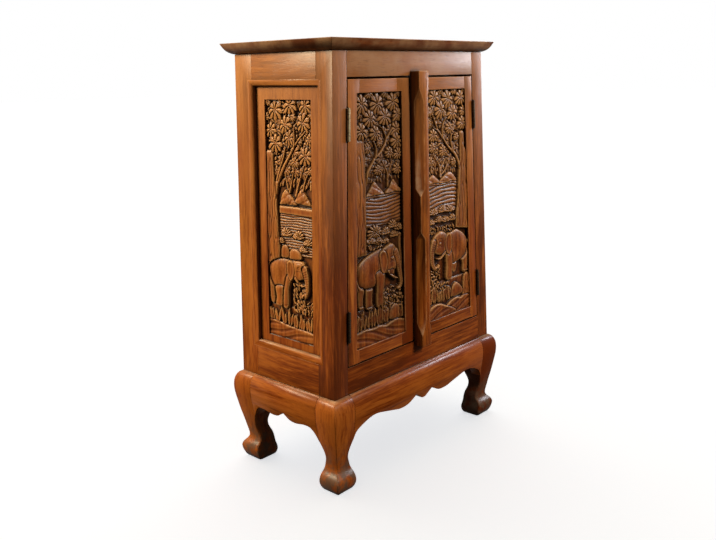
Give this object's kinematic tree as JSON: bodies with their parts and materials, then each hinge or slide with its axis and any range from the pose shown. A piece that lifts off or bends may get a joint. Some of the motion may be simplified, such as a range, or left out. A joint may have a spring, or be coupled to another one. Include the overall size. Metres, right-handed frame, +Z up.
{
  "type": "carved two-door cupboard on a stand",
  "caption": "Small tapered wooden cupboard with leaning sides, two carved doors on butt hinges, a shelf and a cabriole-legged stand with scalloped aprons.",
  "frame": {"origin": "on the floor, under the middle of the whole piece", "axes": "+Z up, the doors face -Y, +X to the right seen from the front"},
  "size_m": [0.5532, 0.324, 0.886],
  "materials": {
    "body_wood": "satin oil over brown stain, lighter on worn edges",
    "carved_wood": "carved in low relief, dark stain in the hollows, satin on the high parts",
    "inner_wood": "plain, lightly sealed",
    "hinge_metal": "aged, dark brown brass"
  },
  "bodies": {
    "cupboard": {"apron_back": "body_wood", "apron_front": "body_wood", "apron_left": "body_wood", "apron_right": "body_wood", "back_panel": "inner_wood", "back_rail_bottom": "body_wood", "back_rail_top": "body_wood", "door_stop": "inner_wood", "floor_board": "inner_wood", "floor_cleat_left": "inner_wood", "floor_cleat_right": "inner_wood", "front_rail_bottom": "body_wood", "front_rail_top": "body_wood", "left_lower_hinge_frame_leaf": "hinge_metal", "left_lower_hinge_pin": "hinge_metal", "left_upper_hinge_frame_leaf": "hinge_metal", "left_upper_hinge_pin": "hinge_metal", "leg_front_left": "body_wood", "leg_front_right": "body_wood", "leg_rear_left": "body_wood", "leg_rear_right": "body_wood", "post_front_left": "body_wood", "post_front_right": "body_wood", "post_rear_left": "body_wood", "post_rear_right": "body_wood", "right_lower_hinge_frame_leaf": "hinge_metal", "right_lower_hinge_pin": "hinge_metal", "right_upper_hinge_frame_leaf": "hinge_metal", "right_upper_hinge_pin": "hinge_metal", "shelf": "inner_wood", "shelf_cleat_left": "inner_wood", "shelf_cleat_right": "inner_wood", "side_panel_left": "carved_wood", "side_panel_right": "carved_wood", "side_rail_bottom_left": "body_wood", "side_rail_bottom_right": "body_wood", "side_rail_top_left": "body_wood", "side_rail_top_right": "body_wood", "top_board": "body_wood"},
    "left_door": {"left_door_bottom_rail": "body_wood", "left_door_hinge_stile": "body_wood", "left_door_meeting_stile": "body_wood", "left_door_panel": "carved_wood", "left_door_top_rail": "body_wood", "left_lower_hinge_door_leaf": "hinge_metal", "left_upper_hinge_door_leaf": "hinge_metal"},
    "right_door": {"right_door_bottom_rail": "body_wood", "right_door_hinge_stile": "body_wood", "right_door_meeting_stile": "body_wood", "right_door_panel": "carved_wood", "right_door_top_rail": "body_wood", "right_lower_hinge_door_leaf": "hinge_metal", "right_upper_hinge_door_leaf": "hinge_metal", "meeting_bar": "body_wood"}
  },
  "joints": [
    {"name": "left_door_hinge", "type": "hinge", "parent": "cupboard", "child": "left_door", "pos_m": [-0.21579, -0.142, 0.3388], "axis": [-0.043, 0, -0.9991], "range_deg": [0, 170]},
    {"name": "right_door_hinge", "type": "hinge", "parent": "cupboard", "child": "right_door", "pos_m": [0.21579, -0.142, 0.3388], "axis": [-0.043, 0, 0.9991], "range_deg": [0, 170]}
  ]
}
